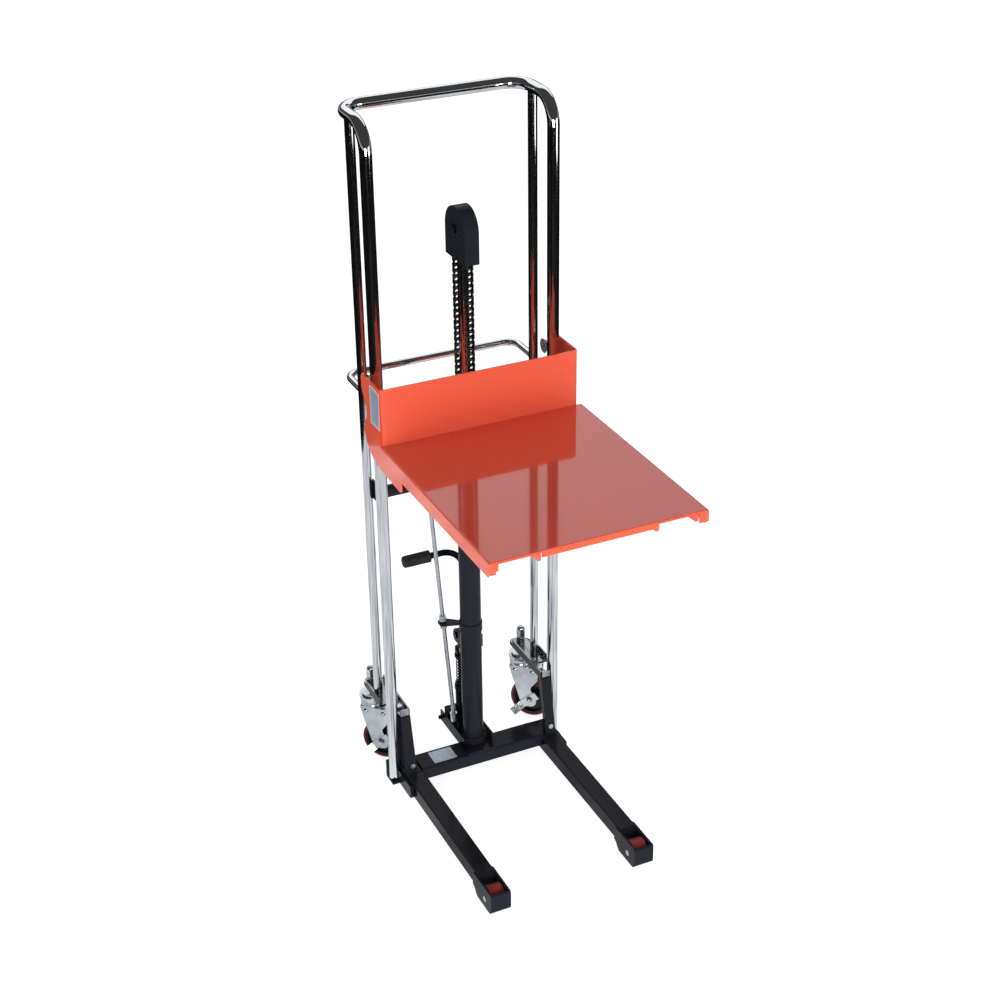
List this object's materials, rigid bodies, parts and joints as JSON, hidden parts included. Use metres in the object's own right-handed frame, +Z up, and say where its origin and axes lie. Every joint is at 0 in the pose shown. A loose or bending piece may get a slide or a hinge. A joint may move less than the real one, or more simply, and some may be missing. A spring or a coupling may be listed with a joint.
{
  "type": "walkie stacker",
  "caption": "Hand-pumped walkie stacker with a bent round-post mast, chain-lifted carriage, slip-on deck over forks, straddle legs and braked swivel casters.",
  "frame": {"origin": "on the floor under the middle of the whole machine's bounding box, with the deck part raised and both casters trailing toward the legs", "axes": "+Z up; -Y to the deck's side, +Y to the push handle; +X to the right when seen from the deck's side"},
  "size_m": [0.6105, 0.984, 1.961],
  "materials": {
    "chromed_steel": "mirror chrome plate on tube and bar",
    "orange_paint": "glossy orange-red enamel",
    "black_paint": "gloss black enamel",
    "tray_steel": "dark plated pressing, polished inside",
    "zinc_steel": "bright zinc plate",
    "tyre_red": "dark red polyurethane",
    "roller_red": "worn dark red polyurethane",
    "wheel_core": "black moulded core",
    "chain_steel": "oiled dark steel",
    "guide_steel": "machined steel",
    "grip_rubber": "ribbed black rubber",
    "label_silver": "silver-blue foil label",
    "spring_steel": "black spring steel"
  },
  "bodies": {
    "base_frame": {"mast_loop": "chromed_steel", "rear_posts": "chromed_steel", "push_handle": "chromed_steel", "cross_member": "black_paint", "base_crossbeam": "black_paint", "leg_left": "black_paint", "leg_right": "black_paint", "uprights": "black_paint", "caster_trays": "tray_steel", "post_shoes": "black_paint", "load_roller_axles": "zinc_steel", "frame_bolts": "zinc_steel", "base_label": "label_silver", "pump_base": "black_paint", "pump_block": "black_paint", "cylinder_tube": "black_paint", "cylinder_gland": "black_paint", "cylinder_clamp": "black_paint", "cylinder_foot": "black_paint", "rod_guide": "black_paint", "lever_bracket": "black_paint", "chain_anchor": "black_paint", "chain_rear": "chain_steel", "kingpins": "zinc_steel", "plunger_spring": "spring_steel"},
    "lift_rod": {"piston_rod": "chromed_steel", "pulley_yoke": "black_paint", "pulley_cover": "black_paint", "pulley_axle": "black_paint", "chain_wrap": "chain_steel"},
    "pulley": {"chain_pulley": "guide_steel"},
    "carriage": {"carriage_plate": "orange_paint", "carriage_bars": "orange_paint", "fork_left": "orange_paint", "fork_right": "orange_paint", "chain_bracket": "orange_paint", "chain_front": "chain_steel", "deck": "orange_paint", "roller_axles": "zinc_steel", "carriage_label": "label_silver"},
    "pump_lever": {"pump_lever": "black_paint", "lever_grip": "grip_rubber"},
    "pump_plunger": {"pump_plunger": "black_paint"},
    "pump_roller": {"pump_roller": "guide_steel"},
    "release": {"release_rod": "zinc_steel", "release_handle": "grip_rubber"},
    "guide_roller_top_left": {"guide_roller_top_left": "guide_steel"},
    "guide_roller_low_left": {"guide_roller_low_left": "guide_steel"},
    "load_roller_left": {"load_roller_left": "roller_red"},
    "caster_left": {"caster_fork_left": "zinc_steel"},
    "caster_wheel_left": {"caster_core_left": "wheel_core", "caster_tyre_left": "tyre_red"},
    "caster_brake_left": {"caster_brake_left": "zinc_steel"},
    "guide_roller_top_right": {"guide_roller_top_right": "guide_steel"},
    "guide_roller_low_right": {"guide_roller_low_right": "guide_steel"},
    "load_roller_right": {"load_roller_right": "roller_red"},
    "caster_right": {"caster_fork_right": "zinc_steel"},
    "caster_wheel_right": {"caster_core_right": "wheel_core", "caster_tyre_right": "tyre_red"},
    "caster_brake_right": {"caster_brake_right": "zinc_steel"}
  },
  "joints": [
    {"name": "rod_lift", "type": "slide", "parent": "base_frame", "child": "lift_rod", "axis": [0, 0, 1], "range_m": [-0.525, 0.18], "deforming": ["chain_rear"]},
    {"name": "carriage_lift", "type": "slide", "parent": "lift_rod", "child": "carriage", "axis": [0, 0, 1], "range_m": [-0.525, 0.18], "deforming": ["chain_front"]},
    {"name": "pulley_spin", "type": "hinge", "parent": "lift_rod", "child": "pulley", "pos_m": [-0.0157, 0.26, 1.645], "axis": [1, 0, 0], "range_deg": [-260, 740]},
    {"name": "pump_lever_swing", "type": "hinge", "parent": "base_frame", "child": "pump_lever", "pos_m": [-0.0157, 0.35, 0.39], "axis": [-1, 0, 0], "range_deg": [0, 40], "stiffness_Nm_per_rad": 12},
    {"name": "pump_stroke", "type": "slide", "parent": "base_frame", "child": "pump_plunger", "axis": [0, 0, -1], "range_m": [0, 0.012], "deforming": ["plunger_spring"]},
    {"name": "pump_roller_spin", "type": "hinge", "parent": "pump_plunger", "child": "pump_roller", "pos_m": [-0.0107, 0.35, 0.34], "axis": [-1, 0, 0], "range_deg": [-120, 0]},
    {"name": "release_twist", "type": "hinge", "parent": "base_frame", "child": "release", "pos_m": [-0.07829, 0.305, 0.454], "axis": [-0.0741, 0, 0.9973], "range_deg": [0, 25]},
    {"name": "top_guide_spin_left", "type": "hinge", "parent": "carriage", "child": "guide_roller_top_left", "pos_m": [-0.2667, 0.28, 1.27], "axis": [1, 0, 0], "range_deg": [-4365, 1500]},
    {"name": "low_guide_spin_left", "type": "hinge", "parent": "carriage", "child": "guide_roller_low_left", "pos_m": [-0.2667, 0.22, 1.14], "axis": [1, 0, 0], "range_deg": [-1500, 4365]},
    {"name": "load_roller_spin_left", "type": "hinge", "parent": "base_frame", "child": "load_roller_left", "pos_m": [-0.2277, -0.336, 0.033], "axis": [1, 0, 0], "continuous": true},
    {"name": "caster_swivel_left", "type": "hinge", "parent": "base_frame", "child": "caster_left", "pos_m": [-0.2557, 0.436, 0.193], "axis": [0, 0, 1], "continuous": true},
    {"name": "caster_wheel_spin_left", "type": "hinge", "parent": "caster_left", "child": "caster_wheel_left", "pos_m": [-0.23095, 0.41125, 0.0625], "axis": [0.7071, 0.7071, 0], "continuous": true},
    {"name": "caster_brake_press_left", "type": "hinge", "parent": "caster_left", "child": "caster_brake_left", "pos_m": [-0.23095, 0.41125, 0.0625], "axis": [-0.7071, -0.7071, 0], "range_deg": [0, 12]},
    {"name": "top_guide_spin_right", "type": "hinge", "parent": "carriage", "child": "guide_roller_top_right", "pos_m": [0.2353, 0.28, 1.27], "axis": [1, 0, 0], "range_deg": [-4365, 1500]},
    {"name": "low_guide_spin_right", "type": "hinge", "parent": "carriage", "child": "guide_roller_low_right", "pos_m": [0.2353, 0.22, 1.14], "axis": [1, 0, 0], "range_deg": [-1500, 4365]},
    {"name": "load_roller_spin_right", "type": "hinge", "parent": "base_frame", "child": "load_roller_right", "pos_m": [0.1963, -0.336, 0.033], "axis": [1, 0, 0], "continuous": true},
    {"name": "caster_swivel_right", "type": "hinge", "parent": "base_frame", "child": "caster_right", "pos_m": [0.2243, 0.436, 0.193], "axis": [0, 0, 1], "continuous": true},
    {"name": "caster_wheel_spin_right", "type": "hinge", "parent": "caster_right", "child": "caster_wheel_right", "pos_m": [0.24905, 0.41125, 0.0625], "axis": [0.7071, 0.7071, 0], "continuous": true},
    {"name": "caster_brake_press_right", "type": "hinge", "parent": "caster_right", "child": "caster_brake_right", "pos_m": [0.24905, 0.41125, 0.0625], "axis": [-0.7071, -0.7071, 0], "range_deg": [0, 12]}
  ],
  "couplings": [
    {"joint": "carriage_lift", "follows": "rod_lift", "ratio": 1},
    {"joint": "pulley_spin", "follows": "rod_lift", "rad_per_m": -24.39},
    {"joint": "pump_stroke", "follows": "pump_lever_swing", "m_per_rad": 0.01718},
    {"joint": "pump_roller_spin", "follows": "pump_lever_swing", "ratio": -2.8},
    {"joint": "top_guide_spin_left", "follows": "rod_lift", "rad_per_m": 144.93},
    {"joint": "low_guide_spin_left", "follows": "rod_lift", "rad_per_m": -144.93},
    {"joint": "top_guide_spin_right", "follows": "rod_lift", "rad_per_m": 144.93},
    {"joint": "low_guide_spin_right", "follows": "rod_lift", "rad_per_m": -144.93}
  ]
}
